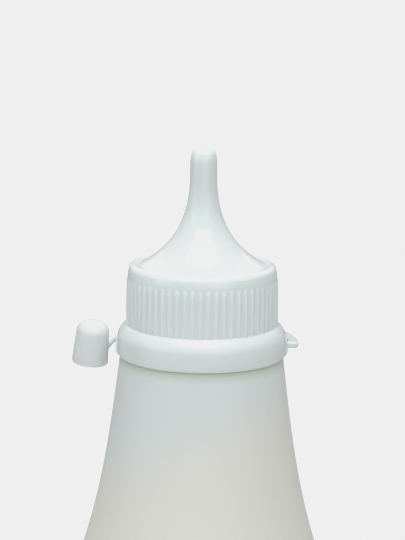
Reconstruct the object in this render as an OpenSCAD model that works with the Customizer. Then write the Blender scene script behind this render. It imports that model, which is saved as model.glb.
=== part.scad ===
// Squeeze bottle with a long closed nozzle, a ribbed screw closure and a tethered tip cap.
// Millimetres. Z runs up the bottle's axis from the middle of its base; the front faces -Y.

/* [Bottle] */
// Height from the base to the underside of the closure
bottle_h = 180; // [150:1:240]
// Radius of the body at its widest
body_r = 41.5; // [38:0.5:50]
// How far the shoulder lies in from the closure's collar
shoulder_in = 0.5; // [0.3:0.05:2]
// Height of the hollow-sided flare under the closure
flare_h = 58; // [50:1:70]
// How far the body widens from the lower end of the flare to the wall
crown_out = 8.2; // [6:0.1:10]
// Slope of the flare at its top, degrees from upright
flare_top_slope = 6.8; // [3:0.1:10]
// Slope of the flare at its lower end, degrees from upright
flare_low_slope = 19.4; // [14:0.1:24]
// Height of the rounded crown between the flare and the upright wall
crown_h = 40; // [30:1:60]
// Radius of the rounding between the wall and the base
heel_r = 9; // [4:0.5:14]
// Width of the flat ring that the bottle stands on
foot_w = 6; // [3:0.5:12]
// Depth of the dished middle of the base
dish_depth = 1.6; // [0.8:0.1:3]

/* [Neck] */
// Thickness of the closure's skirt round the neck
skirt_wall = 2.1; // [1.2:0.1:4]
// Thickness of the closure between the neck and the rib tops
top_wall = 4.3; // [2:0.1:8]
// Clearance between the neck and the closure around it
neck_fit = 0.15; // [0.05:0.05:0.4]
// Gap between the shoulder and the closure's underside
skirt_gap = 0.1; // [0.1:0.1:1]

/* [Collar] */
// How far the smooth collar at the closure's foot stands out from the rib crests
collar_out = 2; // [0.8:0.1:5]
// Height of the collar's upright wall
collar_wall_h = 4.75; // [4:0.25:7]
// Radius of the collar's rounded upper edge
collar_round = 4; // [3.5:0.1:5]
// Rounding of the collar's lower edge
collar_edge = 0.2; // [0.1:0.1:0.8]
// Width of each of the two side pads
pad_w = 7.8; // [4:0.2:12]
// How far a side pad stands out from the collar at its foot
pad_out = 0.55; // [0.3:0.05:1.2]
// How far a side pad rises above the collar's upright wall
pad_rise = 1.15; // [0.2:0.05:1.6]
// Height of the slanted foot of a side pad
pad_foot = 1; // [0.4:0.1:1.8]

/* [Ribbed skirt] */
// Number of grip ribs
rib_count = 60; // [40:1:72]
// Radius over the rib crests
rib_r = 20.4; // [17:0.1:25]
// Height of a rib above the skirt
rib_h = 0.35; // [0.2:0.05:0.5]
// Width of a rib
rib_w = 1.4; // [1:0.1:1.6]
// Height of the rib tops above the closure's underside
rib_top = 21.3; // [17:0.1:30]
// How much narrower the skirt is at its top than at the collar
skirt_taper = 0.2; // [0.1:0.05:0.5]
// Direction of one rib crest, degrees from the +X axis
rib_phase = -91.3; // [-96:0.1:-84]

/* [Nozzle] */
// How far the rounded rim lies in from the rib crests
rim_in = 0.75; // [0.4:0.05:1]
// Radius of the rim's round section
rim_bead_r = 1.4; // [0.8:0.1:1.8]
// Height of the plain band from the rib tops to the rim's middle line
band_h = 1.7; // [1.5:0.1:4]
// Distance from the rim's middle line in to the nozzle's flare
valley_w = 1.95; // [1.7:0.05:3]
// Height of the flare's foot above the rim's middle line
valley_z = 1.4; // [1:0.05:1.6]
// Fairing of the valley between the rim and the flare
valley_fair = 0.6; // [0.1:0.05:0.6]
// Slope of the flare at the rim, degrees from level
cone_slope = 31.8; // [20:0.1:40]
// Reach of the flare's curve in from the rim
cone_reach = 5.6; // [3:0.1:8]
// Height of the flare from its foot to the straight tube
cone_h = 23; // [18:0.1:30]
// Radius of the nozzle's straight tube
tube_r = 3.6; // [3:0.05:4.2]
// Draw of the flare's curve down from the tube
tube_reach = 14.9; // [8:0.1:17]
// Length of the tube from the flare to the closed tip's shoulder
tube_l = 6; // [4:0.1:12]
// How far the tip's shoulder lies in from the tube
tip_in = 0.25; // [0.1:0.05:0.6]
// Height of the rounded end above the shoulder
dome_h = 2.5; // [1.5:0.1:3]

/* [Tether] */
// Clearance between the strap and the collar beside the lug
strap_gap = 0.9; // [0.7:0.05:2]
// Width of the strap beside the lug
strap_w = 2.65; // [1.8:0.05:2.8]
// Clearance between the strap and the collar where the strap leaves the collar's curve
leave_gap = 1.4; // [0.9:0.05:2]
// Width of the strap where it leaves the collar's curve
leave_w = 1.55; // [1.2:0.05:2]
// Thickness of the strap
strap_t = 1; // [0.8:0.1:1.6]
// Height of the strap's underside
strap_z = 2.35; // [1.5:0.05:3]
// Thickness of the lug that roots the strap in the side pad
lug_t = 1.65; // [1.3:0.05:2.2]
// How far the lug's front end lies behind the pad's
lug_in = 0.1; // [0.05:0.05:1]
// Corner radius of the lug's front end
lug_round = 1.2; // [0.6:0.1:1.6]
// Direction in which the strap leaves the collar's curve, degrees from the +X axis
strap_leave = 150; // [130:1:155]
// Width of the strap where it meets the tip cap
tail_w = 1.1; // [0.8:0.1:1.5]
// Thickness of the strap where it meets the tip cap
tail_t = 0.6; // [0.5:0.1:0.8]

/* [Tip cap] */
// Clear distance between the cap's mouth and the collar's side pad
cap_gap = 2.25; // [2.2:0.05:5]
// Distance of the cap's mouth behind the X axis
cap_y = 3; // [0:0.1:5]
// Height of the cap's mouth below the closure's underside
cap_drop = 3.4; // [1:0.1:6]
// Thickness of the cap's side at its mouth, round the fit on the nozzle's tube
cap_wall = 1.15; // [0.9:0.05:1.6]
// Length of the cap
cap_l = 11.3; // [9:0.1:14]
// Narrowing of the cap's side, degrees
cap_draft = 3.2; // [1:0.1:5]
// Rounding of the cap's closed end
cap_round = 2.7; // [1.5:0.1:3]
// Rise of the cap's closed end in its middle
cap_crown = 0.4; // [0.1:0.05:0.6]
// Thickness of the cap's closed end
cap_end_t = 1.4; // [1:0.1:2]
// Clearance between the cap and the nozzle's tip inside it
cap_fit = 0.15; // [0.05:0.05:0.3]
// Lean of the cap's closed end towards the front, degrees
cap_lean_front = 8; // [0:0.5:12]
// Lean of the cap's closed end towards the bottle, degrees
cap_lean_in = 5.5; // [0:0.5:9]
// Direction from the cap's axis to the strap's end, degrees from the +X axis
tail_dir = 40; // [30:1:60]
// Height of the strap's end above the cap's mouth
tail_rise = 1.4; // [1:0.1:3]

/* [Hidden] */
$fn = 96;
wall_top = bottle_h - flare_h - crown_h;
flare_r = body_r - crown_out;
skirt_r = rib_r - rib_h;
skirt_top_r = skirt_r - skirt_taper;
rib_curve = (pow(rib_w / 2, 2) + rib_h * rib_h) / (2 * rib_h);
collar_r = rib_r + collar_out;
collar_ledge = collar_r - collar_round - skirt_r;
collar_top_angle = acos(max(0, -collar_ledge / collar_round));
pad_h = collar_wall_h + pad_rise;
pad_face_h = pad_foot + (pad_h - pad_foot) / 2;
pad_lead = 0.15;
pad_lift = 0.02;
rib_root = 1;
rib_draw = 7;
rib_end = 1.1;
band_foot = 0.4;
tube_draft = 0.25;
tip_taper_h = 1.6;
dome_steps = 7;
shoulder_r = collar_r - shoulder_in;
shoulder_z = bottle_h - skirt_gap;
shoulder_edge = 0.4;
neck_r = skirt_top_r - skirt_wall - neck_fit;
neck_h = rib_top - top_wall;
rim_line_r = rib_r - rim_in - rim_bead_r;
rim_z = rib_top + band_h;
rim_start = 6;
rim_stop = 105;
rim_end = [rim_line_r + rim_bead_r * cos(rim_stop), rim_z + rim_bead_r * sin(rim_stop)];
cone_r = rim_line_r - valley_w;
cone_z = rim_z + valley_z;
tube_z = cone_z + cone_h;
tip_z = tube_z + tube_l;
tip_r = tube_r - tip_in;
strap_start_r = collar_r + strap_gap + strap_w;
strap_out_aside = (strap_start_r - collar_r - leave_gap - leave_w) / (1 - cos(strap_leave));
strap_in_aside = (strap_gap - leave_gap) / (1 - cos(strap_leave));
strap_r = strap_start_r - strap_out_aside;
strap_in_r = collar_r + strap_gap - strap_in_aside;
lug_front = pad_w / 2 - lug_in;
lug_back = 0.9;
lug_tuck = 0.05;
lug_r = strap_r - lug_tuck;
band_from = -4;
strap_line_r = collar_r + leave_gap + leave_w / 2;
strap_line_z = strap_z + strap_t / 2;
cap_bore_r = tube_r + cap_fit;
cap_mouth_r = cap_bore_r + cap_wall;
cap_top_r = cap_mouth_r - (cap_l - cap_round) * tan(cap_draft);
cap_bore_draft = 0.25;
cap_edge = 0.2;
cut_past = 1;
cap_mouth = [-(collar_r + pad_out + cap_gap + cap_mouth_r), cap_y, -cap_drop];
leave_point = [strap_line_r * cos(strap_leave), strap_line_r * sin(strap_leave), strap_line_z];
leave_way = [-sin(strap_leave), cos(strap_leave), 0];
band_overlap = 1.5;
tail_tuck = 0.03;
tail_first_reach = 4.5;
tail_first_sag = 0.8;
tail_last_bend = [0.95, 0.35, 2.2];
tail_wall_r = cap_mouth_r - tail_rise * tan(cap_draft) - tail_t / 2;
tail_end = cap_mouth + lean_in(lean_front(
    [tail_wall_r * cos(tail_dir), tail_wall_r * sin(tail_dir), tail_rise]));
tail_steps = 10;

// A point on the cubic curve with the handles b and c
function curve(a, b, c, d, t) =
    pow(1 - t, 3) * a + 3 * pow(1 - t, 2) * t * b + 3 * (1 - t) * t * t * c + pow(t, 3) * d;
// The same curve as a list of points, its first one left out
function curve_points(a, b, c, d, steps) = [for (i = [1:steps]) curve(a, b, c, d, i / steps)];
// Points of an arc about a centre, from one angle to another
function arc_points(centre, r, from, to, steps) =
    [for (i = [0:steps]) let (a = from + (to - from) * i / steps) centre + r * [cos(a), sin(a)]];
// A point of the tip cap's own frame, turned about X by the cap's lean to the front
function lean_front(p) =
    [p.x, p.y * cos(cap_lean_front) - p.z * sin(cap_lean_front),
     p.y * sin(cap_lean_front) + p.z * cos(cap_lean_front)];
// The same turned about Y by the cap's lean towards the bottle
function lean_in(p) =
    [p.x * cos(cap_lean_in) + p.z * sin(cap_lean_in), p.y,
     p.z * cos(cap_lean_in) - p.x * sin(cap_lean_in)];

// Half outline of the bottle, from the foot up to the shoulder under the closure
function bottle_outline() = concat(
    [[0, 0]],
    arc_points([body_r - heel_r, heel_r], heel_r, -90, 0, 8),
    [[body_r, wall_top]],
    curve_points(
        [body_r, wall_top], [body_r, wall_top + crown_h / 3],
        [flare_r + tan(flare_low_slope) * crown_h / 3, wall_top + crown_h * 2 / 3],
        [flare_r, wall_top + crown_h], 10),
    curve_points(
        [flare_r, wall_top + crown_h],
        [flare_r - tan(flare_low_slope) * flare_h / 3, bottle_h - flare_h * 2 / 3],
        [shoulder_r + tan(flare_top_slope) * flare_h / 3, bottle_h - flare_h / 3],
        [shoulder_r, shoulder_z - shoulder_edge], 12),
    arc_points([shoulder_r - shoulder_edge, shoulder_z - shoulder_edge], shoulder_edge, 30, 90, 2),
    [[neck_r, shoulder_z], [neck_r, bottle_h + neck_h], [0, bottle_h + neck_h]]);

module bottle() {
    foot_in = body_r - heel_r - foot_w;
    dish_r = (foot_in * foot_in + dish_depth * dish_depth) / (2 * dish_depth);
    color([0.84, 0.87, 0.84])
    difference() {
        rotate_extrude() polygon(bottle_outline());
        translate([0, 0, dish_depth - dish_r]) sphere(r = dish_r);
    }
}

// Half outline of the closure without its ribs, from its underside up to the closed tip
function closure_outline() = concat(
    [[0, 0]],
    arc_points([collar_r - collar_edge, collar_edge], collar_edge, -90, 0, 2),
    arc_points([collar_r - collar_round, collar_wall_h], collar_round, 0, collar_top_angle, 8),
    collar_ledge > 0 ? [[skirt_r, collar_wall_h + collar_round]] : [],
    [[skirt_top_r, rib_top + band_foot]],
    arc_points([rim_line_r, rim_z], rim_bead_r, rim_start, rim_stop, 8),
    curve_points(
        rim_end, rim_end + valley_fair * [-sin(rim_stop), cos(rim_stop)],
        [cone_r + valley_fair * cos(cone_slope), cone_z - valley_fair * sin(cone_slope)],
        [cone_r, cone_z], 5),
    curve_points(
        [cone_r, cone_z],
        [cone_r - cone_reach * cos(cone_slope), cone_z + cone_reach * sin(cone_slope)],
        [tube_r + tube_draft, tube_z - tube_reach], [tube_r, tube_z], 18),
    [[tube_r, tip_z - tip_taper_h], [tip_r, tip_z]],
    [for (i = [1:dome_steps]) let (a = i * 90 / dome_steps) [tip_r * cos(a), tip_z + dome_h * sin(a)]]);

// Space that the ribs fill: clear of their crests low down, drawn in and rounded off at their tops
function rib_envelope() = [
    [skirt_top_r - rib_root, collar_wall_h],
    [rib_r + rib_h, collar_wall_h],
    [rib_r + rib_h / 8, rib_top - rib_draw],
    [skirt_top_r + rib_h * 7 / 8, rib_top - rib_end],
    [skirt_top_r + rib_h / 2, rib_top - rib_end / 3],
    [skirt_top_r - rib_h / 2, rib_top],
    [skirt_top_r - rib_root, rib_top]];

module ribs() {
    intersection() {
        rotate_extrude() polygon(rib_envelope());
        for (i = [0:rib_count - 1])
            rotate([0, 0, rib_phase + i * 360 / rib_count])
                translate([rib_r - rib_curve, 0, collar_wall_h]) cylinder(r = rib_curve, h = rib_top);
    }
}

module side_pad() {
    rotate([90, 0, 0])
        linear_extrude(height = pad_w, center = true)
            polygon([
                [skirt_r - rib_root, pad_lift],
                [collar_r - pad_lead, pad_lift],
                [collar_r + pad_out, pad_foot],
                [collar_r + pad_out, pad_face_h],
                [collar_r - pad_lead, pad_h],
                [skirt_r - rib_root, pad_h]]);
}

// Root of the strap: a flat lug with a rounded front corner
module strap_lug() {
    corner_x = sqrt(pow(lug_r - lug_round, 2) - pow(lug_front - lug_round, 2));
    corner_dir = atan2(-(lug_front - lug_round), corner_x);
    translate([strap_out_aside, 0, strap_z])
        linear_extrude(height = lug_t)
            polygon(concat(
                [[skirt_r, -lug_front]],
                arc_points([corner_x, -(lug_front - lug_round)], lug_round, -90, corner_dir, 5),
                arc_points([0, 0], lug_r, corner_dir + 1, -asin(lug_back / lug_r), 5),
                [[skirt_r, -lug_back]]));
}

// The strap where it runs round the back of the collar, between two circles set apart so that it narrows
module strap_band() {
    translate([0, 0, strap_z])
        linear_extrude(height = strap_t)
            intersection() {
                difference() {
                    translate([strap_out_aside, 0]) circle(r = strap_r);
                    translate([strap_in_aside, 0]) circle(r = strap_in_r);
                }
                polygon(concat(
                    [[0, 0]],
                    arc_points([0, 0], 2 * strap_r, band_from, strap_leave + band_overlap, 6)));
            }
}

// Free end of the strap: a swept flat section that starts inside the band and bends down to the tip cap
module strap_tail() {
    first = leave_point;
    second = leave_point + tail_first_reach * leave_way - [0, 0, tail_first_sag];
    third = tail_end + tail_last_bend;
    points = [for (i = [0:tail_steps]) curve(first, second, third, tail_end, i / tail_steps)];
    ways = [for (i = [0:tail_steps])
        i == 0 ? leave_way : points[i] - points[i - 1]];
    corners = [for (i = [0:tail_steps])
        let (along = ways[i] / norm(ways[i]),
             across = cross(along, [0, 0, 1]) / norm(cross(along, [0, 0, 1])),
             up = cross(across, along),
             share = i / tail_steps,
             w = (leave_w * (1 - share) + tail_w * share) / 2 - tail_tuck,
             h = (strap_t * (1 - share) + tail_t * share) / 2 - tail_tuck)
        for (k = [[-1, -1], [1, -1], [1, 1], [-1, 1]]) points[i] + k.x * w * across + k.y * h * up];
    sides = [for (i = [0:tail_steps - 1]) for (k = [0:3])
        let (a = 4 * i + k, b = 4 * i + (k + 1) % 4)
        for (face = [[a, a + 4, b], [b, a + 4, b + 4]]) face];
    ends = [[0, 1, 2], [0, 2, 3],
        for (face = [[0, 2, 1], [0, 3, 2]]) [for (c = face) c + 4 * tail_steps]];
    polyhedron(points = corners, faces = concat(sides, ends), convexity = 4);
}

module at_cap() {
    translate(cap_mouth) rotate([cap_lean_front, cap_lean_in, 0]) children();
}

// Outside of the tip cap, still solid
module tip_cap() {
    at_cap()
        rotate_extrude()
            polygon(concat(
                [[0, 0], [cap_mouth_r - cap_edge, 0], [cap_mouth_r, cap_edge]],
                arc_points([cap_top_r - cap_round, cap_l - cap_round], cap_round, cap_draft, 84, 7),
                [[0, cap_l + cap_crown]]));
}

// Inside of the tip cap, a little wider at its mouth
module cap_bore() {
    at_cap()
        translate([0, 0, -cut_past])
            cylinder(r1 = cap_bore_r + cap_bore_draft, r2 = cap_bore_r, h = cap_l - cap_end_t + cut_past);
}

module closure() {
    color([0.86, 0.89, 0.9])
    translate([0, 0, bottle_h])
        difference() {
            union() {
                rotate_extrude() polygon(closure_outline());
                ribs();
                side_pad();
                mirror([1, 0, 0]) side_pad();
                strap_lug();
                strap_band();
                strap_tail();
                tip_cap();
            }
            translate([0, 0, -cut_past]) cylinder(r = neck_r + neck_fit, h = neck_h + cut_past);
            cap_bore();
        }
}

bottle();
closure();
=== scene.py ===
"""Looks of a squeeze bottle with a long closed nozzle, a ribbed screw closure and a tethered tip cap.

Sizes are in millimetres. Each mesh is drawn in millimetres, with +Z up the bottle's axis from the middle of
the base and the front facing -Y, and is turned into metres when it becomes a piece. Heights on the closure
are given from its underside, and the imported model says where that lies.
"""

import logging
from dataclasses import dataclass
from enum import Enum
from math import acos, atan2, cos, degrees, hypot, pi, radians, sin, sqrt, tan

import bmesh
import bpy
from mathutils import Euler, Matrix, Vector
from mathutils.geometry import interpolate_bezier


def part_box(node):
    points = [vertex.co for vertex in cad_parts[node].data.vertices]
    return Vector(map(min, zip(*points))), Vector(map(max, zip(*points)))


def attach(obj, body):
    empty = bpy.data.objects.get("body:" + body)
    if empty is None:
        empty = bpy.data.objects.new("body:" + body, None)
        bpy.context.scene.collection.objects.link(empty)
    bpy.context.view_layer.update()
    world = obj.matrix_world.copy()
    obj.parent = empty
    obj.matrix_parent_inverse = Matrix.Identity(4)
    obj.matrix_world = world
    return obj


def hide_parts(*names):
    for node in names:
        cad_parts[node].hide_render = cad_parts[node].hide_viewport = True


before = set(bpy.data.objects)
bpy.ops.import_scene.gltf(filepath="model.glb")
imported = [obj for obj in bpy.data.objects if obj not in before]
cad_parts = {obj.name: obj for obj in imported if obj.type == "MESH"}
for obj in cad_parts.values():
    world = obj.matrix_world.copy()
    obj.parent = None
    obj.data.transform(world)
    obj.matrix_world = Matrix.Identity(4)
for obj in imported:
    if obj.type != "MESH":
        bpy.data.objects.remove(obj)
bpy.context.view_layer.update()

log = logging.getLogger("squeeze_bottle")

Colour = tuple[float, float, float, float]
Pair = tuple[float, float]
Triple = tuple[float, float, float]

MM = 0.001
BODY = "root"

# Distance within which vertices are one, in millimetres.
WELD = 1e-4
# Angles past which an edge is shaded sharp, and past which it counts as a fold to be rounded.
CREASE = radians(40)
FOLD = radians(60)
# Half of a unit square's side, or of a width.
HALF = 0.5
# None to all, as the range of a share.
SHARES: Pair = (0.0, 1.0)
# Light of every colour reaches equally far in.
EVENLY: Triple = (1.0, 1.0, 1.0)


class Slot(Enum):
    """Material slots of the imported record, each with the name of the node that is made of it."""

    BOTTLE = "bottle"
    CLOSURE = "closure"


class Side(Enum):
    """Sides of the closure that a pad stands on, as the sign of its X."""

    LEFT = -1
    RIGHT = 1


# ---------------------------------------------------------------- drawing and turning


class Outline:
    """Half outline of a turned shape, drawn point by point as distance from the axis and height."""

    def __init__(self, r: float, z: float) -> None:
        """Starts the outline.

        Args:
            r: Distance of the first point from the axis.
            z: Height of the first point.
        """
        self.points: list[Vector] = [Vector((r, 0.0, z))]

    def line(self, r: float, z: float, steps: int = 1) -> "Outline":
        """Adds a straight stretch.

        Args:
            r: Distance of its end from the axis.
            z: Height of its end.
            steps: Number of even steps to draw it in.

        Returns:
            The outline itself.
        """
        start, end = self.points[-1].copy(), Vector((r, 0.0, z))
        self.points += [start.lerp(end, i / steps) for i in range(1, steps + 1)]
        return self

    def arc(self, centre: Pair, radius: float, start: float, stop: float, steps: int) -> "Outline":
        """Adds an arc, joined to what is drawn so far by a straight line.

        Args:
            centre: Centre of the arc.
            radius: Radius of the arc.
            start: Angle of its first point, in degrees from level outwards.
            stop: Angle of its last point.
            steps: Number of even steps to draw it in.

        Returns:
            The outline itself.
        """
        for i in range(steps + 1):
            angle = radians(start + (stop - start) * i / steps)
            self.line(centre[0] + radius * cos(angle), centre[1] + radius * sin(angle))
        return self

    def curve(self, first: Pair, second: Pair, end: Pair, steps: int) -> "Outline":
        """Adds a cubic curve from the last point.

        Args:
            first: Handle of the curve's start.
            second: Handle of the curve's end.
            end: Last point of the curve.
            steps: Number of steps to draw it in.

        Returns:
            The outline itself.
        """
        first_handle, second_handle, last = (Vector((r, 0.0, z)) for r, z in (first, second, end))
        self.points += interpolate_bezier(self.points[-1], first_handle, second_handle, last, steps + 1)[1:]
        return self

    def turned(self, steps: int, phase: float = 0.0) -> bmesh.types.BMesh:
        """Turns the outline once round the axis into a closed shape.

        Args:
            steps: Number of steps of the turn.
            phase: Direction of the first step, in degrees from +X.

        Returns:
            The turned mesh, with its faces outwards.
        """
        mesh = bmesh.new()
        start = Matrix.Rotation(radians(phase), 4, "Z")
        corners = [mesh.verts.new(start @ point) for point in self.points]
        lines = [mesh.edges.new(ends) for ends in zip(corners, corners[1:])]
        bmesh.ops.spin(
            mesh, geom=corners + lines, cent=(0, 0, 0), axis=(0, 0, 1), dvec=(0, 0, 0),
            angle=2 * pi, steps=steps, use_merge=True, use_duplicate=False)
        close_up(mesh)
        return mesh


def close_up(mesh: bmesh.types.BMesh) -> None:
    """Merges doubled vertices and turns every face outwards.

    Args:
        mesh: The mesh to close up, in millimetres.
    """
    bmesh.ops.remove_doubles(mesh, verts=mesh.verts, dist=WELD)
    bmesh.ops.dissolve_degenerate(mesh, edges=mesh.edges, dist=WELD)
    bmesh.ops.recalc_face_normals(mesh, faces=mesh.faces)


def soften(mesh: bmesh.types.BMesh, edges: list[bmesh.types.BMEdge], radius: float, segments: int) -> None:
    """Rounds some edges of a mesh.

    Args:
        mesh: The mesh that holds them.
        edges: The edges to round.
        radius: How far the rounding starts from each edge.
        segments: Number of faces across the rounding.
    """
    bmesh.ops.bevel(
        mesh, geom=edges, offset=radius, offset_type="OFFSET", segments=segments, profile=0.5,
        affect="EDGES", material=-1, clamp_overlap=False)


def corners_of(pulled: list) -> list[bmesh.types.BMVert]:
    """Picks the vertices out of what an extrusion gives."""
    return [part for part in pulled if isinstance(part, bmesh.types.BMVert)]


def folds(mesh: bmesh.types.BMesh) -> list[bmesh.types.BMEdge]:
    """Finds the edges where a closed mesh folds sharply."""
    return [edge for edge in mesh.edges if len(edge.link_faces) == 2 and edge.calc_face_angle() > FOLD]


def make_piece(
    mesh: bmesh.types.BMesh, name: str, finish: bpy.types.Material, slot: Slot
) -> bpy.types.Object:
    """Makes a piece of the object out of a mesh, in metres and in place.

    Args:
        mesh: The mesh, in millimetres. It is freed.
        name: Name of the piece.
        finish: Material of the piece.
        slot: Slot of the record whose node the piece replaces; that node is hidden.

    Returns:
        The piece.
    """
    bmesh.ops.scale(mesh, vec=(MM, MM, MM), verts=mesh.verts)
    data = bpy.data.meshes.new(name)
    mesh.to_mesh(data)
    mesh.free()
    data.shade_smooth()
    data.set_sharp_from_angle(angle=CREASE)
    data.materials.append(finish)
    piece = bpy.data.objects.new(name, data)
    bpy.context.scene.collection.objects.link(piece)
    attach(piece, BODY)
    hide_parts(slot.value)
    log.info("%s: %d faces", name, len(data.polygons))
    return piece


# ---------------------------------------------------------------- finishes


class Graph:
    """Adds nodes to one node tree."""

    MIX_SHARE, MIX_FIRST, MIX_SECOND, MIX_RESULT = 0, 6, 7, 2

    def __init__(self, tree: bpy.types.NodeTree) -> None:
        """Starts on a tree.

        Args:
            tree: The tree to add nodes to.
        """
        self.tree = tree

    def add(self, kind: str, inputs: dict | None = None, **settings: object) -> bpy.types.Node:
        """Adds a node.

        Args:
            kind: The node's type.
            inputs: What its inputs take, by name or number: a socket to link, or a value to set.
            settings: The node's own settings.

        Returns:
            The new node.
        """
        node = self.tree.nodes.new(kind)
        for name, value in settings.items():
            setattr(node, name, value)
        for name, value in (inputs or {}).items():
            if isinstance(value, bpy.types.NodeSocket):
                self.tree.links.new(value, node.inputs[name])
            else:
                node.inputs[name].default_value = value
        return node

    def mix(self, share: bpy.types.NodeSocket, first: object, second: object) -> bpy.types.NodeSocket:
        """Mixes two colours.

        Args:
            share: Share of the second colour.
            first: Colour at a share of 0.
            second: Colour at a share of 1.

        Returns:
            The mixed colour.
        """
        sockets = {self.MIX_SHARE: share, self.MIX_FIRST: first, self.MIX_SECOND: second}
        return self.add("ShaderNodeMix", sockets, data_type="RGBA").outputs[self.MIX_RESULT]

    def spread(self, value: bpy.types.NodeSocket, source: Pair, target: Pair) -> bpy.types.NodeSocket:
        """Carries a value from one range to another, smoothly and without leaving it.

        Args:
            value: The value.
            source: The range that it comes in.
            target: The range that it leaves in.

        Returns:
            The carried value.
        """
        ends = dict(zip(("From Min", "From Max", "To Min", "To Max"), (*source, *target)))
        node = self.add("ShaderNodeMapRange", {"Value": value, **ends}, interpolation_type="SMOOTHSTEP")
        return node.outputs["Result"]


class MouldedSkin:
    """Unevenness that every moulded surface has: slow waves, fine grain and a faint mottle of tone."""

    NAME = "moulded_skin"
    MOTTLE: Pair = (0.3, 0.7)

    def __init__(self) -> None:
        """Builds the shared node group once."""
        self.group = bpy.data.node_groups.new(self.NAME, "ShaderNodeTree")
        self.group.interface.new_socket("Vector", in_out="INPUT", socket_type="NodeSocketVector")
        for name in ("Wave Scale", "Grain Scale", "Grain Share"):
            self.group.interface.new_socket(name, in_out="INPUT", socket_type="NodeSocketFloat")
        for name in ("Height", "Mottle"):
            self.group.interface.new_socket(name, in_out="OUTPUT", socket_type="NodeSocketFloat")
        graph = Graph(self.group)
        given = graph.add("NodeGroupInput").outputs
        wave = graph.add("ShaderNodeTexNoise", {
            "Vector": given["Vector"], "Scale": given["Wave Scale"], "Detail": 2.0, "Roughness": 0.4})
        grain = graph.add("ShaderNodeTexNoise", {
            "Vector": given["Vector"], "Scale": given["Grain Scale"], "Detail": 3.0, "Roughness": 0.6})
        height = graph.add("ShaderNodeMath", {
            0: grain.outputs["Fac"], 1: given["Grain Share"], 2: wave.outputs["Fac"],
        }, operation="MULTIPLY_ADD")
        graph.add("NodeGroupOutput", {
            "Height": height.outputs[0], "Mottle": graph.spread(wave.outputs["Fac"], self.MOTTLE, SHARES)})

    def place(
        self, graph: Graph, where: bpy.types.NodeSocket, wave: float, grain: float, share: float
    ) -> bpy.types.Node:
        """Places the group in a material.

        Args:
            graph: The material's graph.
            where: Coordinates that the pattern follows.
            wave: Scale of the slow waves, in waves a metre.
            grain: Scale of the fine grain.
            share: Height of the grain against the waves.

        Returns:
            The group's node, with the outputs Height and Mottle.
        """
        values = {"Vector": where, "Wave Scale": wave, "Grain Scale": grain, "Grain Share": share}
        return graph.add("ShaderNodeGroup", values, node_tree=self.group)


@dataclass(frozen=True)
class Moulding:
    """What the moulded finishes share: a gloss, an uneven skin, and a depth that light reaches into.

    Scales are in waves a metre, and reliefs and depths in metres.
    """

    seat: float
    name: str
    gloss: Pair
    scatter: float
    scatter_depth: float
    waves: float
    grain: float
    grain_share: float
    relief: float
    ior: float

    def tone(
        self, graph: Graph, where: bpy.types.NodeSocket, mottle: bpy.types.NodeSocket
    ) -> bpy.types.NodeSocket:
        """Works out the colour of the surface.

        Args:
            graph: The material's graph.
            where: Object coordinates.
            mottle: Share of the skin's second tone.

        Returns:
            The colour.
        """
        raise NotImplementedError

    def heights(self, span: Pair) -> Pair:
        """Turns two heights above the closure's underside into object coordinates.

        Args:
            span: The two heights.

        Returns:
            Both heights above the base, in metres.
        """
        return (self.seat + span[0]) * MM, (self.seat + span[1]) * MM

    def make(self, skin: MouldedSkin) -> bpy.types.Material:
        """Makes the material.

        Args:
            skin: The shared unevenness.

        Returns:
            The material.
        """
        material = bpy.data.materials.new(self.name)
        material.use_nodes = True
        graph = Graph(material.node_tree)
        shader = material.node_tree.nodes["Principled BSDF"]
        where = graph.add("ShaderNodeTexCoord").outputs["Object"]
        uneven = skin.place(graph, where, self.waves, self.grain, self.grain_share)
        mottle = uneven.outputs["Mottle"]
        bump = graph.add("ShaderNodeBump", {"Height": uneven.outputs["Height"], "Distance": self.relief})
        graph.tree.links.new(self.tone(graph, where, mottle), shader.inputs["Base Color"])
        graph.tree.links.new(graph.spread(mottle, SHARES, self.gloss), shader.inputs["Roughness"])
        graph.tree.links.new(bump.outputs["Normal"], shader.inputs["Normal"])
        shader.inputs["Subsurface Weight"].default_value = self.scatter
        shader.inputs["Subsurface Radius"].default_value = EVENLY
        shader.inputs["Subsurface Scale"].default_value = self.scatter_depth
        shader.inputs["IOR"].default_value = self.ior
        return material


@dataclass(frozen=True)
class ClosurePlastic(Moulding):
    """Cool white moulded plastic with a gloss, with painted shade along the nozzle's narrow tube.

    The painted shade stands for light that passes through the tube's slender wall; it sets in over the first
    of the two height pairs below, and ends over the second, at the solid tip.
    """

    name: str = "closure_plastic"
    gloss: Pair = (0.05, 0.08)
    scatter: float = 0.75
    scatter_depth: float = 0.002
    waves: float = 90.0
    grain: float = 2600.0
    grain_share: float = 0.008
    relief: float = 0.00008
    ior: float = 1.62
    base: Colour = (0.805, 0.865, 0.865, 1.0)
    shade: Colour = (0.78, 0.85, 0.853, 1.0)
    # Painted shade: a darker tone along the narrow nozzle tube, standing for light lost through its slender
    # wall.
    painted_tube_shade: Colour = (0.725, 0.78, 0.785, 1.0)
    tube_shade_starts: Pair = (33.0, 46.0)
    tube_shade_ends: Pair = (51.5, 53.5)

    def tone(
        self, graph: Graph, where: bpy.types.NodeSocket, mottle: bpy.types.NodeSocket
    ) -> bpy.types.NodeSocket:
        """Works out the colour, as the shared finish says."""
        moulded = graph.mix(mottle, self.base, self.shade)
        height = graph.add("ShaderNodeSeparateXYZ", {0: where}).outputs["Z"]
        # Painted shade: the tube is darkened by height, then brought back to the plain tone at the solid tip.
        wall = graph.mix(graph.spread(height, self.heights(self.tube_shade_starts), SHARES), moulded, self.painted_tube_shade)
        return graph.mix(graph.spread(height, self.heights(self.tube_shade_ends), SHARES), wall, moulded)


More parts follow.
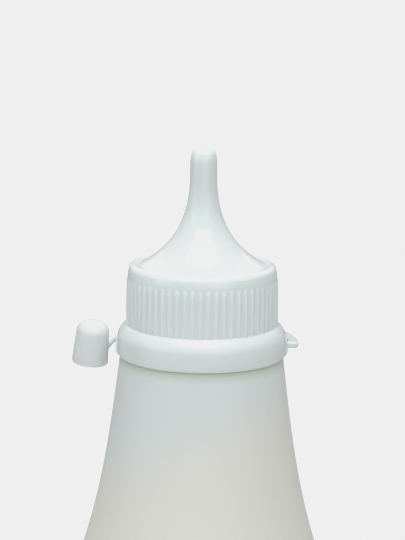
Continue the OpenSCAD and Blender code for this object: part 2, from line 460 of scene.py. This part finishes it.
@dataclass(frozen=True)
class MilkyWall(Moulding):
    """Milky satin wall of the blown bottle, with its contents showing faintly through it.

    The contents' upper edge is soft, wavers and slants. Painted shade darkens the wall just under the
    closure, where the collar shadows it.
    """

    name: str = "milky_wall"
    gloss: Pair = (0.36, 0.46)
    scatter: float = 0.4
    scatter_depth: float = 0.004
    waves: float = 26.0
    grain: float = 900.0
    grain_share: float = 0.04
    relief: float = 0.0002
    ior: float = 1.5
    empty: Colour = (0.745, 0.793, 0.787, 1.0)
    filled: Colour = (0.795, 0.79, 0.75, 1.0)
    # Painted shade: a darker, greener wall tone just under the closure, standing for the collar's shadow.
    neck_shade: Colour = (0.62, 0.68, 0.60, 1.0)
    shaded: Pair = (-3.6, 0.0)
    level: Pair = (148.0, 166.0)
    level_tilt: float = -22.0
    level_waver: float = 14.0
    waver_scale: float = 14.0

    def _contents(self, graph: Graph, where: bpy.types.NodeSocket) -> bpy.types.NodeSocket:
        """Works out how much of the contents shows.

        Args:
            graph: The material's graph.
            where: Object coordinates.

        Returns:
            A mask, 0 above the contents' soft upper edge and 1 below it.
        """
        waver = graph.add("ShaderNodeTexNoise", {"Vector": where, "Scale": self.waver_scale, "Detail": 1.0})
        turned = graph.add("ShaderNodeMapping", {
            "Vector": where, "Rotation": (0.0, radians(-self.level_tilt), 0.0)})
        height = graph.add("ShaderNodeSeparateXYZ", {0: turned.outputs[0]}).outputs["Z"]
        wavered = graph.add("ShaderNodeMath", {
            0: waver.outputs["Fac"], 1: self.level_waver * MM, 2: height}, operation="MULTIPLY_ADD")
        low, high = (level * MM for level in self.level)
        return graph.spread(wavered.outputs[0], (low, high), (1.0, 0.0))

    def tone(
        self, graph: Graph, where: bpy.types.NodeSocket, mottle: bpy.types.NodeSocket
    ) -> bpy.types.NodeSocket:
        """Works out the colour, as the shared finish says, though the skin's mottle leaves it as it is."""
        wall = graph.mix(self._contents(graph, where), self.empty, self.filled)
        height = graph.add("ShaderNodeSeparateXYZ", {0: where}).outputs["Z"]
        # Painted shade under the closure, laid on by height.
        return graph.mix(graph.spread(height, self.heights(self.shaded), SHARES), wall, self.neck_shade)


# ---------------------------------------------------------------- the bottle


@dataclass
class Bottle:
    """Blown bottle: dished base, upright wall, rounded crown, hollow flare and the neck in the closure."""

    finish: bpy.types.Material
    seat: float
    body_r: float
    neck_top: float
    shoulder_r: float
    neck_r: float
    seat_gap: float = 0.1
    shoulder_edge: float = 0.4
    flare_h: float = 58.0
    flare_top_slope: float = 6.8
    flare_low_slope: float = 19.4
    crown_out: float = 8.2
    crown_h: float = 40.0
    heel_r: float = 9.0
    foot_w: float = 6.0
    dish_depth: float = 1.6
    seam_dir: float = -41.0
    seam_w: float = 0.7
    seam_h: float = 0.12
    turn_steps: int = 288

    def outline(self) -> Outline:
        """Draws the half outline, from the middle of the base up to the middle of the neck's end.

        Returns:
            The outline.
        """
        flare_r = self.body_r - self.crown_out
        wall_top = self.seat - self.flare_h - self.crown_h
        shoulder_z = self.seat - self.seat_gap
        foot_in = self.body_r - self.heel_r - self.foot_w
        dish_r = (foot_in**2 + self.dish_depth**2) / (2 * self.dish_depth)
        dish_edge = degrees(acos(foot_in / dish_r))
        low_lean, top_lean = (tan(radians(slope)) for slope in (self.flare_low_slope, self.flare_top_slope))
        drawn = Outline(0.0, self.dish_depth)
        drawn.arc((0.0, self.dish_depth - dish_r), dish_r, 90.0, dish_edge, 6)
        drawn.arc((self.body_r - self.heel_r, self.heel_r), self.heel_r, -90.0, 0.0, 10)
        drawn.line(self.body_r, wall_top, 4)
        drawn.curve(
            (self.body_r, wall_top + self.crown_h / 3),
            (flare_r + low_lean * self.crown_h / 3, wall_top + self.crown_h * 2 / 3),
            (flare_r, wall_top + self.crown_h), 16)
        drawn.curve(
            (flare_r - low_lean * self.flare_h / 3, self.seat - self.flare_h * 2 / 3),
            (self.shoulder_r + top_lean * self.flare_h / 3, self.seat - self.flare_h / 3),
            (self.shoulder_r, shoulder_z - self.shoulder_edge), 24)
        drawn.arc(
            (self.shoulder_r - self.shoulder_edge, shoulder_z - self.shoulder_edge),
            self.shoulder_edge, 30.0, 90.0, 4)
        return drawn.line(self.neck_r, shoulder_z).line(self.neck_r, self.neck_top).line(0.0, self.neck_top)

    def _raise_seam(self, mesh: bmesh.types.BMesh) -> None:
        """Raises the fine line that the two halves of the mould leave up both sides and across the base.

        Args:
            mesh: The turned bottle, with a column of vertices in the seam's plane.
        """
        along = Vector((cos(radians(self.seam_dir)), sin(radians(self.seam_dir)), 0.0))
        across = Vector((-along.y, along.x, 0.0))
        for share in (-HALF, HALF):
            bmesh.ops.bisect_plane(
                mesh, geom=mesh.verts[:] + mesh.edges[:] + mesh.faces[:], dist=WELD,
                plane_co=across * self.seam_w * share, plane_no=across)
        for vert in mesh.verts:
            if abs(vert.co.dot(across)) < self.seam_w / 4 and vert.co.z < self.seat - self.seat_gap:
                vert.co += vert.normal * self.seam_h
                vert.co.z = max(vert.co.z, 0.0)

    def build(self) -> bpy.types.Object:
        """Builds the bottle.

        Returns:
            The piece.
        """
        mesh = self.outline().turned(self.turn_steps, self.seam_dir)
        mesh.normal_update()
        self._raise_seam(mesh)
        return make_piece(mesh, "bottle_shell", self.finish, Slot.BOTTLE)


# ---------------------------------------------------------------- the closure


@dataclass(frozen=True)
class ClosureSizes:
    """Sizes that the closure's shell, pads, tether and tip cap share."""

    rib_r: float = 20.4
    rib_h: float = 0.35
    rib_w: float = 1.4
    rib_top: float = 21.3
    skirt_taper: float = 0.2
    skirt_wall: float = 2.1
    top_wall: float = 4.3
    shoulder_in: float = 0.5
    neck_fit: float = 0.15
    collar_out: float = 2.0
    collar_wall_h: float = 4.75
    collar_round: float = 4.0
    collar_edge: float = 0.2
    pad_w: float = 7.8
    pad_out: float = 0.55
    pad_rise: float = 1.15
    pad_foot: float = 1.0
    tube_r: float = 3.6

    @property
    def skirt_r(self) -> float:
        """Radius of the skirt between its ribs, at the collar."""
        return self.rib_r - self.rib_h

    @property
    def skirt_top_r(self) -> float:
        """Radius of the skirt at its top."""
        return self.skirt_r - self.skirt_taper

    @property
    def collar_r(self) -> float:
        """Radius of the collar."""
        return self.rib_r + self.collar_out

    @property
    def shoulder_r(self) -> float:
        """Radius of the bottle's shoulder, just inside the collar."""
        return self.collar_r - self.shoulder_in

    @property
    def neck_r(self) -> float:
        """Radius of the bottle's neck inside the closure."""
        return self.skirt_top_r - self.skirt_wall - self.neck_fit

    @property
    def neck_h(self) -> float:
        """Height of the socket that holds the neck."""
        return self.rib_top - self.top_wall


@dataclass
class ClosureShell:
    """Collar, ribbed skirt, rim, flared nozzle and closed tip, which are one turned moulding."""

    finish: bpy.types.Material
    sizes: ClosureSizes
    rib_count: int = 60
    rib_phase: float = -91.3
    rib_end: float = 1.7
    rib_rings: tuple[float, ...] = (0.35, 0.6, 0.8, 0.93, 1.0)
    rib_foot: float = 0.7
    rib_blend: float = 0.65
    rim_in: float = 0.75
    rim_bead_r: float = 1.4
    rim_start: float = 6.0
    rim_stop: float = 105.0
    band_foot: float = 0.4
    band_h: float = 1.7
    valley_w: float = 1.95
    valley_z: float = 1.4
    valley_fair: float = 0.6
    cone_slope: float = 31.8
    cone_reach: float = 5.6
    cone_h: float = 23.0
    tube_draft: float = 0.25
    tube_reach: float = 14.9
    tube_l: float = 6.0
    tip_in: float = 0.25
    tip_taper_h: float = 1.6
    dome_h: float = 2.5
    dome_steps: int = 8
    steps_per_rib: int = 12

    @property
    def rim_z(self) -> float:
        """Height of the rim's middle line."""
        return self.sizes.rib_top + self.band_h

    @property
    def tip_z(self) -> float:
        """Height of the closed tip's shoulder."""
        return self.rim_z + self.valley_z + self.cone_h + self.tube_l

    def outline(self) -> Outline:
        """Draws the half outline without the ribs, from the socket's roof round the collar to the tip.

        Returns:
            The outline.
        """
        s = self.sizes
        socket_r = s.neck_r + s.neck_fit
        rim_line_r = s.rib_r - self.rim_in - self.rim_bead_r
        cone_r, cone_z = rim_line_r - self.valley_w, self.rim_z + self.valley_z
        tube_z, tip_r = cone_z + self.cone_h, s.tube_r - self.tip_in
        slope = radians(self.cone_slope)
        collar_in = s.collar_r - s.collar_round
        meets_crest = degrees(acos((s.rib_r - collar_in) / s.collar_round))
        meets_skirt = degrees(acos((s.skirt_r - collar_in) / s.collar_round))
        drawn = Outline(0.0, s.neck_h).line(socket_r, s.neck_h).line(socket_r, 0.0)
        drawn.arc((s.collar_r - s.collar_edge, s.collar_edge), s.collar_edge, -90.0, 0.0, 4)
        drawn.arc((collar_in, s.collar_wall_h), s.collar_round, 0.0, meets_crest, 10)
        drawn.arc((collar_in, s.collar_wall_h), s.collar_round, meets_crest, meets_skirt, 4)
        skirt_z = drawn.points[-1].z
        fade_z = s.rib_top - self.rib_end
        lean = s.skirt_taper / (s.rib_top + self.band_foot - skirt_z)
        drawn.line(s.skirt_r - lean * (fade_z - skirt_z), fade_z, 6)
        for share in self.rib_rings:
            z = fade_z + self.rib_end * share
            drawn.line(s.skirt_r - lean * (z - skirt_z), z)
        drawn.line(s.skirt_top_r, s.rib_top + self.band_foot)
        drawn.arc((rim_line_r, self.rim_z), self.rim_bead_r, self.rim_start, self.rim_stop, 14)
        rim_end, stop = drawn.points[-1], radians(self.rim_stop)
        drawn.curve(
            (rim_end.x - self.valley_fair * sin(stop), rim_end.z + self.valley_fair * cos(stop)),
            (cone_r + self.valley_fair * cos(slope), cone_z - self.valley_fair * sin(slope)),
            (cone_r, cone_z), 6)
        drawn.curve(
            (cone_r - self.cone_reach * cos(slope), cone_z + self.cone_reach * sin(slope)),
            (s.tube_r + self.tube_draft, tube_z - self.tube_reach), (s.tube_r, tube_z), 28)
        drawn.line(s.tube_r, self.tip_z - self.tip_taper_h).line(tip_r, self.tip_z)
        for i in range(1, self.dome_steps + 1):
            angle = radians(90 * i / self.dome_steps)
            drawn.line(tip_r * cos(angle), self.tip_z + self.dome_h * sin(angle))
        return drawn

    def _relief(self, across: float, z: float) -> float:
        """Works out how far a rib stands out from the skirt.

        Args:
            across: Distance from the rib's middle line.
            z: Height.

        Returns:
            The height of the rib's surface above the skirt, which is rounded across and fades at its top.
        """
        s = self.sizes
        half = self.rib_blend * s.rib_w
        if abs(across) >= half or z >= s.rib_top:
            return 0.0
        faded = max(0.0, (z - s.rib_top + self.rib_end) / self.rib_end)
        return s.rib_h * (1 + cos(pi * across / half)) / 2 * (1 + cos(pi * faded)) / 2

    def _raise_ribs(self, mesh: bmesh.types.BMesh) -> None:
        """Moves the skirt's wall out into its ribs, down to where each meets the collar's rounded top.

        Args:
            mesh: The turned shell, with vertices along every rib's crest.
        """
        s = self.sizes
        pitch = 360 / self.rib_count
        foot_z = s.collar_wall_h + s.collar_round * self.rib_foot
        for vert in mesh.verts:
            r = hypot(vert.co.x, vert.co.y)
            if r < s.skirt_top_r - s.rib_h or not foot_z < vert.co.z < s.rib_top:
                continue
            turn = (degrees(atan2(vert.co.y, vert.co.x)) - self.rib_phase) / pitch
            across = radians((turn - round(turn)) * pitch) * s.skirt_r
            share = (vert.co.z - s.collar_wall_h) / (s.rib_top - s.collar_wall_h)
            wall_r = min(s.skirt_r, s.skirt_r - s.skirt_taper * share)
            out = max(r, wall_r + self._relief(across, vert.co.z)) / r
            vert.co.x, vert.co.y = vert.co.x * out, vert.co.y * out

    def build(self, seat: float) -> bpy.types.Object:
        """Builds the shell.

        Args:
            seat: Height of the closure's underside.

        Returns:
            The piece.
        """
        mesh = self.outline().turned(self.rib_count * self.steps_per_rib, self.rib_phase)
        self._raise_ribs(mesh)
        bmesh.ops.translate(mesh, vec=(0, 0, seat), verts=mesh.verts)
        return make_piece(mesh, "closure_shell", self.finish, Slot.CLOSURE)


@dataclass
class SidePad:
    """Raised pad on one side of the collar, which leans in above its middle."""

    finish: bpy.types.Material
    sizes: ClosureSizes
    side: Side
    lift: float = 0.02
    lead: float = 0.15
    root: float = 1.0
    softness: float = 0.35

    def build(self, seat: float) -> bpy.types.Object:
        """Builds the pad.

        Args:
            seat: Height of the closure's underside.

        Returns:
            The piece.
        """
        s = self.sizes
        top = s.collar_wall_h + s.pad_rise
        face_top = s.pad_foot + (top - s.pad_foot) / 2
        inner, outer = s.skirt_r - self.root, s.collar_r + s.pad_out
        half = s.pad_w / 2
        mesh = bmesh.new()
        profile = (
            (inner, self.lift), (s.collar_r - self.lead, self.lift), (outer, s.pad_foot), (outer, face_top),
            (s.collar_r - self.lead, top), (inner, top))
        face = mesh.faces.new([mesh.verts.new((x * self.side.value, -half, z)) for x, z in profile])
        pulled = bmesh.ops.extrude_face_region(mesh, geom=[face])["geom"]
        bmesh.ops.translate(mesh, vec=(0, s.pad_w, 0), verts=corners_of(pulled))
        close_up(mesh)
        shown = [e for e in mesh.edges if min(abs(v.co.x) for v in e.verts) > inner + WELD]
        soften(mesh, shown, self.softness, 4)
        bmesh.ops.translate(mesh, vec=(0, 0, seat), verts=mesh.verts)
        return make_piece(mesh, f"side_pad_{self.side.name.lower()}", self.finish, Slot.CLOSURE)


@dataclass
class TipCap:
    """Small cap for the cut nozzle, which hangs from the strap with its mouth downwards."""

    finish: bpy.types.Material
    sizes: ClosureSizes
    gap: float = 2.25
    behind: float = 3.0
    drop: float = 3.4
    wall: float = 1.15
    length: float = 11.3
    draft: float = 3.2
    end_round: float = 2.7
    end_stop: float = 84.0
    crown: float = 0.4
    end_t: float = 1.4
    fit: float = 0.15
    bore_draft: float = 0.25
    edge: float = 0.2
    lean_front: float = 8.0
    lean_in: float = 5.5
    turn_steps: int = 128

    @property
    def mouth_r(self) -> float:
        """Radius over the cap's mouth."""
        return self.sizes.tube_r + self.fit + self.wall

    @property
    def place(self) -> Matrix:
        """Place and lean of the cap, from its own frame with the mouth's middle as the origin."""
        s = self.sizes
        mouth = Vector((-(s.collar_r + s.pad_out + self.gap + self.mouth_r), self.behind, -self.drop))
        lean = Euler((radians(self.lean_front), radians(self.lean_in), 0.0)).to_matrix().to_4x4()
        return Matrix.Translation(mouth) @ lean

    def side_r(self, z: float) -> float:
        """Radius of the cap's side at a height above its mouth."""
        return self.mouth_r - z * tan(radians(self.draft))

    def outline(self) -> Outline:
        """Draws the half outline, from the bore's end down to the mouth and up the outside.

        Returns:
            The outline.
        """
        bore_r, bore_l = self.sizes.tube_r + self.fit, self.length - self.end_t
        bore_mouth_r = bore_r + self.bore_draft
        end_z = self.length - self.end_round
        drawn = Outline(0.0, bore_l)
        drawn.arc((bore_r - self.edge, bore_l - self.edge), self.edge, 90.0, 0.0, 3)
        drawn.arc((bore_mouth_r + self.edge, self.edge), self.edge, 180.0, 270.0, 4)
        drawn.arc((self.mouth_r - self.edge, self.edge), self.edge, -90.0, self.draft, 5)
        drawn.arc((self.side_r(end_z) - self.end_round, end_z), self.end_round, self.draft, self.end_stop, 12)
        return drawn.line(0.0, self.length + self.crown)

    def build(self, seat: float) -> bpy.types.Object:
        """Builds the cap.

        Args:
            seat: Height of the closure's underside.

        Returns:
            The piece.
        """
        mesh = self.outline().turned(self.turn_steps)
        bmesh.ops.transform(mesh, matrix=Matrix.Translation((0, 0, seat)) @ self.place, verts=mesh.verts)
        return make_piece(mesh, "tip_cap", self.finish, Slot.CLOSURE)


def reach(circle: Pair, turn: float) -> float:
    """Works out how far a circle that is set aside along X reaches in one direction.

    Args:
        circle: X of the circle's middle, and its radius.
        turn: The direction, in radians from +X.

    Returns:
        The distance from the axis to the circle in that direction.
    """
    aside, radius = circle
    return aside * cos(turn) + sqrt(radius**2 - (aside * sin(turn)) ** 2)


@dataclass
class Tether:
    """Flat strap that leaves a lug on the right pad, runs round behind the collar and holds the tip cap."""

    finish: bpy.types.Material
    sizes: ClosureSizes
    cap: TipCap
    gap: float = 0.9
    width: float = 2.65
    leave_gap: float = 1.4
    leave_w: float = 1.55
    thickness: float = 1.0
    underside: float = 2.35
    lug_t: float = 1.65
    lug_in: float = 0.1
    lug_round: float = 1.2
    lug_back: float = 0.9
    start_dir: float = -1.5
    leave_dir: float = 150.0
    tail_w: float = 1.1
    tail_t: float = 0.6
    tail_dir: float = 40.0
    tail_rise: float = 1.4
    tail_reach: float = 4.5
    tail_sag: float = 0.8
    tail_bend: Triple = (0.95, 0.35, 2.2)
    softness: float = 0.22
    lug_softness: float = 0.55
    band_steps: int = 90
    tail_steps: int = 24

    def _circle(self, start_r: float, leave_r: float) -> Pair:
        """Works out a circle, set aside along X, that one edge of the strap follows round the collar.

        Args:
            start_r: Distance of the edge from the closure's axis on the +X side.
            leave_r: Distance of the edge from the axis where the strap leaves the collar.

        Returns:
            How far the circle's middle lies from the axis along X, and its radius.
        """
        aside = (start_r - leave_r) / (1 - cos(radians(self.leave_dir)))
        return aside, start_r - aside

    @property
    def outer_circle(self) -> Pair:
        """Circle of the strap's outer edge: its middle's X and its radius."""
        collar_r = self.sizes.collar_r
        return self._circle(collar_r + self.gap + self.width, collar_r + self.leave_gap + self.leave_w)

    @property
    def inner_circle(self) -> Pair:
        """Circle of the strap's inner edge: its middle's X and its radius."""
        collar_r = self.sizes.collar_r
        return self._circle(collar_r + self.gap, collar_r + self.leave_gap)

    def _stations(self) -> list[tuple[Vector, Vector, float, float]]:
        """Works out the strap's route.

        Returns:
            For each station along it, the middle of the section, its direction, its width and its thickness.
        """
        line_z = self.underside + self.thickness / 2
        found = []
        for i in range(self.band_steps + 1):
            turn = radians(self.start_dir + (self.leave_dir - self.start_dir) * i / self.band_steps)
            inner, outer = (reach(circle, turn) for circle in (self.inner_circle, self.outer_circle))
            middle = Vector((cos(turn), sin(turn), 0.0)) * (inner + outer) / 2
            middle.z = line_z
            found.append((middle, Vector((-sin(turn), cos(turn), 0.0)), outer - inner, self.thickness))
        leave_turn = radians(self.leave_dir)
        leave_r = self.sizes.collar_r + self.leave_gap + self.leave_w / 2
        leave = Vector((leave_r * cos(leave_turn), leave_r * sin(leave_turn), line_z))
        way = Vector((-sin(leave_turn), cos(leave_turn), 0.0))
        wall_r = self.cap.side_r(self.tail_rise) - self.tail_t / 2
        turn = radians(self.tail_dir)
        end = self.cap.place @ Vector((wall_r * cos(turn), wall_r * sin(turn), self.tail_rise))
        first = leave + self.tail_reach * way - Vector((0.0, 0.0, self.tail_sag))
        points = interpolate_bezier(leave, first, end + Vector(self.tail_bend), end, self.tail_steps + 1)
        for i, (before, point) in enumerate(zip(points, points[1:]), 1):
            share = i / self.tail_steps
            found.append((
                point, (point - before).normalized(), self.leave_w + (self.tail_w - self.leave_w) * share,
                self.thickness + (self.tail_t - self.thickness) * share))
        return found

    def _section(self, middle: Vector, way: Vector, width: float, thickness: float) -> Matrix:
        """Places the strap's unit section.

        Args:
            middle: Middle of the section.
            way: Direction of the strap there.
            width: Width of the strap there.
            thickness: Thickness of the strap there.

        Returns:
            The matrix that carries a unit square in the XY plane to the section.
        """
        across = way.cross(Vector((0, 0, 1))).normalized()
        turn = Matrix((across, across.cross(way), way)).transposed().to_4x4()
        return Matrix.Translation(middle) @ turn @ Matrix.Diagonal((width, thickness, 1.0, 1.0))

    def build_strap(self, seat: float) -> bpy.types.Object:
        """Sweeps the strap along its route.

        Args:
            seat: Height of the closure's underside.

        Returns:
            The piece.
        """
        mesh = bmesh.new()
        stations = self._stations()
        bmesh.ops.create_grid(mesh, x_segments=1, y_segments=1, size=HALF, matrix=self._section(*stations[0]))
        last = mesh.faces[:]
        inside: list[bmesh.types.BMFace] = []
        for before, after in zip(stations, stations[1:]):
            pulled = bmesh.ops.extrude_face_region(mesh, geom=last)["geom"]
            if before is not stations[0]:
                inside += last
            last = [part for part in pulled if isinstance(part, bmesh.types.BMFace)]
            step = self._section(*after) @ self._section(*before).inverted()
            bmesh.ops.transform(mesh, matrix=step, verts=corners_of(pulled))
        bmesh.ops.delete(mesh, geom=[face for face in inside if face.is_valid], context="FACES_ONLY")
        close_up(mesh)
        soften(mesh, folds(mesh), self.softness, 3)
        bmesh.ops.translate(mesh, vec=(0, 0, seat), verts=mesh.verts)
        return make_piece(mesh, "strap", self.finish, Slot.CLOSURE)

    def build_lug(self, seat: float) -> bpy.types.Object:
        """Builds the flat lug that roots the strap in the pad.

        Args:
            seat: Height of the closure's underside.

        Returns:
            The piece.
        """
        s = self.sizes
        front = s.pad_w / 2 - self.lug_in
        aside, outer_r = self.outer_circle
        corner_y = self.lug_round - front
        corner_x = sqrt((outer_r - self.lug_round) ** 2 - corner_y**2)
        corner_dir = degrees(atan2(corner_y, corner_x))
        drawn = Outline(s.skirt_r, -front)
        drawn.arc((aside + corner_x, corner_y), self.lug_round, -90.0, corner_dir, 8)
        drawn.line(aside + sqrt(outer_r**2 - self.lug_back**2), -self.lug_back)
        drawn.line(s.skirt_r, -self.lug_back)
        mesh = bmesh.new()
        face = mesh.faces.new([mesh.verts.new((p.x, p.z, self.underside)) for p in drawn.points])
        pulled = bmesh.ops.extrude_face_region(mesh, geom=[face])["geom"]
        bmesh.ops.translate(mesh, vec=(0, 0, self.lug_t), verts=corners_of(pulled))
        close_up(mesh)
        level = [edge for edge in folds(mesh) if edge.verts[0].co.z == edge.verts[1].co.z]
        soften(mesh, level, self.lug_softness, 5)
        bmesh.ops.translate(mesh, vec=(0, 0, seat), verts=mesh.verts)
        return make_piece(mesh, "strap_lug", self.finish, Slot.CLOSURE)


# ---------------------------------------------------------------- the studio


@dataclass(frozen=True)
class Panel:
    """Soft light panel."""

    name: str
    at: Triple
    aim: Triple
    size: Pair
    power: float

    def hang(self) -> None:
        """Hangs the panel in the scene."""
        light = bpy.data.lights.new(self.name, "AREA")
        light.shape = "RECTANGLE"
        light.size, light.size_y = self.size
        light.energy = self.power
        lamp = bpy.data.objects.new(self.name, light)
        lamp.location = self.at
        lamp.rotation_euler = Vector(self.aim).to_track_quat("-Z", "Y").to_euler()
        bpy.context.scene.collection.objects.link(lamp)


@dataclass
class Studio:
    """Pale floor, soft lights and the camera."""

    panels: tuple[Panel, ...] = (
        Panel("overhead", at=(0.0, -0.184, 0.974), aim=(0.0, 0.64, -0.768), size=(0.80, 0.87), power=5.0),
        Panel("front_fill", at=(0.35, -1.6, 0.5), aim=(-0.22, 0.97, -0.15), size=(2.4, 1.4), power=4.1),
        Panel("left_fill", at=(-1.2, -0.6, 0.5), aim=(1.0, 0.5, -0.2), size=(0.8, 0.8), power=1.5),
        Panel("back_top", at=(0.0, 0.9, 0.9), aim=(0.0, -0.7, -0.7), size=(1.4, 0.8), power=3.0),
        Panel("right_fill", at=(0.75, -1.3, 0.5), aim=(-0.5, 0.87, -0.2), size=(0.8, 0.8), power=0.6),
    )
    backdrop: Colour = (1.05, 1.05, 1.05, 1.0)
    ambient: Colour = (0.425, 0.43, 0.425, 1.0)
    paper_dark: Colour = (0.83, 0.83, 0.83, 1.0)
    paper_light: Colour = (0.87, 0.87, 0.87, 1.0)
    paper_rough: float = 0.9
    paper_gloss: float = 0.1
    paper_fibre: float = 300.0
    white: float = 0.863
    shoulder: float = 0.74
    floor_r: float = 8.0
    floor_near: float = 0.15
    floor_far: float = 0.34
    camera_at: Triple = (0.0, -0.5081, 0.30636)
    camera_pitch: float = 11.54
    camera_roll: float = 0.68
    lens: float = 130.0
    sensor_w: float = 36.0
    sight: float = 50.0

    def floor(self) -> None:
        """Lays a disc that is plain paper round the object and fades into the even backdrop further out."""
        material = bpy.data.materials.new("floor_paper")
        material.use_nodes = True
        graph = Graph(material.node_tree)
        nodes = material.node_tree.nodes
        paper = nodes["Principled BSDF"]
        paper.inputs["Roughness"].default_value = self.paper_rough
        paper.inputs["Specular IOR Level"].default_value = self.paper_gloss
        where = graph.add("ShaderNodeTexCoord").outputs["Object"]
        fibre = graph.add("ShaderNodeTexNoise", {"Vector": where, "Scale": self.paper_fibre, "Detail": 4.0})
        tone = graph.mix(fibre.outputs["Fac"], self.paper_dark, self.paper_light)
        graph.tree.links.new(tone, paper.inputs["Base Color"])
        glow = graph.add("ShaderNodeEmission", {"Color": self.backdrop})
        away = graph.add("ShaderNodeVectorMath", {0: where}, operation="LENGTH").outputs["Value"]
        share = graph.spread(away, (self.floor_near, self.floor_far), SHARES)
        seen = graph.add("ShaderNodeLightPath").outputs["Is Camera Ray"]
        even = graph.add("ShaderNodeEmission", {"Color": self.ambient})
        far = graph.add("ShaderNodeMixShader", {0: seen, 1: even.outputs[0], 2: glow.outputs[0]})
        mixed = graph.add("ShaderNodeMixShader", {0: share, 1: paper.outputs[0], 2: far.outputs[0]})
        graph.tree.links.new(mixed.outputs[0], nodes["Material Output"].inputs["Surface"])
        mesh = bmesh.new()
        bmesh.ops.create_circle(mesh, cap_ends=True, segments=96, radius=self.floor_r)
        data = bpy.data.meshes.new("floor")
        mesh.to_mesh(data)
        mesh.free()
        data.materials.append(material)
        floor = bpy.data.objects.new("floor", data)
        bpy.context.scene.collection.objects.link(floor)

    def world(self) -> None:
        """Surrounds the scene with even light, seen by the camera as the backdrop."""
        world = bpy.data.worlds.new("studio")
        bpy.context.scene.world = world
        world.use_nodes = True
        graph = Graph(world.node_tree)
        nodes = world.node_tree.nodes
        even = nodes["Background"]
        even.inputs["Color"].default_value = self.ambient
        shown = graph.add("ShaderNodeBackground", {"Color": self.backdrop})
        seen = graph.add("ShaderNodeLightPath").outputs["Is Camera Ray"]
        mixed = graph.add("ShaderNodeMixShader", {0: seen, 1: even.outputs[0], 2: shown.outputs[0]})
        graph.tree.links.new(mixed.outputs[0], nodes["World Output"].inputs["Surface"])

    def camera(self) -> None:
        """Sets up the camera."""
        data = bpy.data.cameras.new("camera")
        data.lens = self.lens
        data.sensor_width = self.sensor_w
        data.clip_end = self.sight
        camera = bpy.data.objects.new("camera", data)
        pitch = Matrix.Rotation(radians(90 - self.camera_pitch), 4, "X")
        roll = Matrix.Rotation(radians(self.camera_roll), 4, "Z")
        camera.matrix_world = Matrix.Translation(self.camera_at) @ pitch @ roll
        bpy.context.scene.collection.objects.link(camera)
        bpy.context.scene.camera = camera

    def build(self) -> None:
        """Sets up the whole studio."""
        self.floor()
        self.world()
        for panel in self.panels:
            panel.hang()
        self.camera()
        self.film()

    def film(self) -> None:
        """Sets the film's response: straight up to the shoulder, and level at the backdrop's pale grey."""
        view = bpy.context.scene.view_settings
        view.view_transform = "Standard"
        view.use_curve_mapping = True
        response = view.curve_mapping
        response.extend = "HORIZONTAL"
        tones = response.curves[3]
        tones.points[-1].location = (1.0, self.white)
        for tone in (self.shoulder, (self.shoulder + self.white) / 2):
            tones.points.new(tone, tone)
        response.update()


def main() -> None:
    """Builds the bottle, its closure and the studio in order."""
    logging.basicConfig(level=logging.INFO, format="%(name)s: %(message)s")
    sizes = ClosureSizes()
    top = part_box("bottle")[1]
    seat = top.z / MM - sizes.neck_h
    skin = MouldedSkin()
    plastic = ClosurePlastic(seat).make(skin)
    thin_plastic = ClosurePlastic(
        seat, "thin_plastic", base=(0.80, 0.83, 0.84, 1.0), shade=(0.77, 0.80, 0.82, 1.0),
        scatter=0.3, scatter_depth=0.0006).make(skin)
    milky = MilkyWall(seat).make(skin)
    Bottle(milky, seat, top.x / MM, top.z / MM, sizes.shoulder_r, sizes.neck_r).build()
    ClosureShell(plastic, sizes).build(seat)
    for side in Side:
        SidePad(plastic, sizes, side).build(seat)
    cap = TipCap(thin_plastic, sizes)
    cap.build(seat)
    tether = Tether(thin_plastic, sizes, cap)
    tether.build_strap(seat)
    tether.build_lug(seat)
    Studio().build()


if __name__ == "__main__":
    main()
